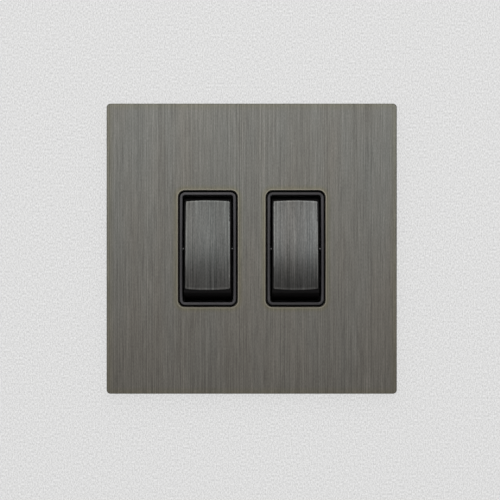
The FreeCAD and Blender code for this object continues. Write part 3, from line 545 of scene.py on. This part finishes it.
def wire_heights(length):
    """How far along the spring the wire has come at each step: its ends lie closed, and its pitch opens out
    between them."""
    steps = SPRING_TURNS * SPRING_STEPS
    openness = []
    for step in range(steps):
        from_end = min(step, steps - step) / SPRING_STEPS
        openness.append(min(max((from_end - CLOSED_TURNS) / OPENING_TURNS, 0.0), 1.0))
    closed_rise = CLOSED_PITCH / SPRING_STEPS
    spare = length - 2 * SPRING_WIRE_RADIUS - steps * closed_rise
    rises = [closed_rise + spare * part / sum(openness) for part in openness]
    return list(accumulate(rises, initial=SPRING_WIRE_RADIUS))


def coil(start, length):
    """A round wire coiled about the spring's axis, over a length that takes it in."""
    across, up = Vector((1.0, 0.0, 0.0)), Vector((0.0, math.sin(TILT), math.cos(TILT)))
    form = bmesh.new()
    rings = []
    for step, height in enumerate(wire_heights(length)):
        turn = 2 * math.pi * step / SPRING_STEPS
        out = across * math.cos(turn) + up * math.sin(turn)
        middle = start + out * SPRING_RADIUS + SPRING_AXIS * height
        ring = []
        for side in range(WIRE_SIDES):
            angle = 2 * math.pi * side / WIRE_SIDES
            ring.append(form.verts.new(
                middle + (out * math.cos(angle) + SPRING_AXIS * math.sin(angle)) * SPRING_WIRE_RADIUS))
        rings.append(ring)
    for first, second in zip(rings, rings[1:]):
        for side in range(WIRE_SIDES):
            after = (side + 1) % WIRE_SIDES
            form.faces.new((first[side], first[after], second[after], second[side]))
    form.faces.new(rings[0])
    form.faces.new(rings[-1])
    bmesh.ops.recalc_face_normals(form, faces=form.faces)
    mesh = bpy.data.meshes.new("coil")
    form.to_mesh(mesh)
    form.free()
    mesh.shade_smooth()
    mesh.set_sharp_from_angle(angle=WIRE_CREASE)
    return mesh


def plunger_spring(side, x, metal):
    """A coil in the rocker's tube, in the place of the CAD spring."""
    pivot = Vector((x, PIVOT_DEPTH, 0.0))
    node = f"plunger_spring_{side}"
    along = [(vertex.co - pivot).dot(SPRING_AXIS) for vertex in frame["nodes"][node].data.vertices]
    start, length = pivot + SPRING_AXIS * min(along), max(along) - min(along)
    made = bpy.data.objects.new(f"plunger_coil_{side}", coil(start, length))
    made.data.materials.append(metal)
    bpy.context.scene.collection.objects.link(made)
    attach(made, f"rocker_{side}")
    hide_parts(node)
    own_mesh(made)


# ---- wall, floor, light and camera ----

WALL_GREY, WALL_EVENNESS = 0.735, 0.90
FLOOR_GREY, FLOOR_EVENNESS = 0.68, 0.75
SURROUND = 0.6
WALL_HALF_WIDTH = 3.0
WALL_TOP = 3.0
FLOOR_HEIGHT = -1.1  # a switch's usual height above the floor
FLOOR_REACH = 6.0
RECESS_HALF = 42 * MM


def stage_mesh(name, corners, faces):
    """A mesh of the setting, which is no part of the switch."""
    mesh = bpy.data.meshes.new(name)
    mesh.from_pydata(corners, [], faces)
    thing = bpy.data.objects.new(name, mesh)
    bpy.context.scene.collection.objects.link(thing)
    return thing


def pale_surface(name, grey, evenness):
    """A pale matt surface whose colour is partly its own light, so that it stays even and still takes
    shadows."""
    shader = Shader(name)
    grain = shader.noise((2700, 2100, 1600), 2.0, 0.6)
    colour = shader.scaled((grey, grey, grey), shader.around(grain, 0.50))
    shader.bump(grain, distance=0.05 * MM)
    shader.finish(colour, 0.9, Specular_IOR_Level=0.1)
    glow = shader.node("ShaderNodeEmission")
    shader.link(colour, glow.inputs["Color"])
    blend = shader.node("ShaderNodeMixShader")
    path = shader.node("ShaderNodeLightPath").outputs
    seen = shader.math("ADD", path["Is Camera Ray"], path["Is Glossy Ray"])
    seen = shader.math("ADD", seen, path["Is Transmission Ray"])
    shader.link(shader.math("MULTIPLY", seen, evenness), blend.inputs[0])
    shader.link(shader.surface.outputs[0], blend.inputs[1])
    shader.link(glow.outputs[0], blend.inputs[2])
    return shader, blend.outputs[0]


def wall():
    """The wall round its recess, seen from the room only: from behind it is clear."""
    left, right, hole = -WALL_HALF_WIDTH, WALL_HALF_WIDTH, RECESS_HALF
    corners = [(left, 0, FLOOR_HEIGHT), (right, 0, FLOOR_HEIGHT), (right, 0, WALL_TOP), (left, 0, WALL_TOP),
               (-hole, 0, -hole), (hole, 0, -hole), (hole, 0, hole), (-hole, 0, hole)]
    faces = [(0, 1, 5, 4), (1, 2, 6, 5), (2, 3, 7, 6), (3, 0, 4, 7)]
    made = stage_mesh("wall", corners, faces)
    shader, front = pale_surface("wall_paint", WALL_GREY, WALL_EVENNESS)
    one_sided = shader.node("ShaderNodeMixShader")
    shader.link(shader.node("ShaderNodeNewGeometry").outputs["Backfacing"], one_sided.inputs[0])
    shader.link(front, one_sided.inputs[1])
    shader.link(shader.node("ShaderNodeBsdfTransparent").outputs[0], one_sided.inputs[2])
    shader.link(one_sided.outputs[0], shader.output.inputs["Surface"])
    made.data.materials.append(shader.material)


def floor():
    corners = [(across * FLOOR_REACH, out * FLOOR_REACH, FLOOR_HEIGHT)
               for across, out in ((-1, -1), (1, -1), (1, 1), (-1, 1))]
    made = stage_mesh("floor", corners, [(0, 1, 2, 3)])
    shader, top = pale_surface("floor_paint", FLOOR_GREY, FLOOR_EVENNESS)
    shader.link(top, shader.output.inputs["Surface"])
    made.data.materials.append(shader.material)


def world():
    """A pale, even surround, which is also the backdrop wherever the wall doesn't show."""
    made = bpy.data.worlds.new("surround")
    made.use_nodes = True
    background = made.node_tree.nodes["Background"].inputs
    background["Color"].default_value = (1.0, 0.99, 0.98, 1.0)
    background["Strength"].default_value = SURROUND
    bpy.context.scene.world = made


def area_lamp(name, place, width, height, power, colour):
    """A soft rectangular lamp aimed at the object, which the camera doesn't see."""
    data = bpy.data.lights.new(name, "AREA")
    data.shape = "RECTANGLE"
    data.size = width
    data.size_y = height
    data.energy = power
    data.color = colour
    lamp = bpy.data.objects.new(name, data)
    lamp.location = place
    lamp.rotation_euler = (-Vector(place)).to_track_quat("-Z", "Y").to_euler()
    lamp.visible_camera = False
    bpy.context.scene.collection.objects.link(lamp)


VIEW_DISTANCE = 0.8  # from the plate's face
VIEW_WIDTH = 155.05 * MM  # what the picture spans at the plate's face
AIM_X = -0.53 * MM
AIM_Z = -0.41 * MM
CLIP_START = 0.01


def camera():
    data = bpy.data.cameras.new("camera")
    data.angle = 2 * math.atan(VIEW_WIDTH / 2 / VIEW_DISTANCE)
    data.clip_start = CLIP_START
    made = bpy.data.objects.new("camera", data)
    made.location = (AIM_X, PLATE_FRONT - VIEW_DISTANCE, AIM_Z)
    made.rotation_euler = (math.radians(90), 0, 0)
    bpy.context.scene.collection.objects.link(made)
    bpy.context.scene.camera = made


def studio():
    wall()
    floor()
    world()
    area_lamp("key", (0.0, -0.29, 0.22), width=0.36, height=0.44, power=1.0, colour=(1.0, 0.985, 0.955))
    area_lamp("rear", (-0.30, 0.55, 0.30), width=0.6, height=0.5, power=5.0, colour=(1.0, 0.99, 0.98))
    camera()
    bpy.context.scene.view_settings.view_transform = "Standard"


finishes = {maker.__name__: maker() for maker in MATERIALS}
dress_frame(finishes)
box_screws(finishes["screw_steel"])
plunger_spring("left", -MODULE_X, finishes["spring_steel"])
plunger_spring("right", MODULE_X, finishes["spring_steel"])
studio()
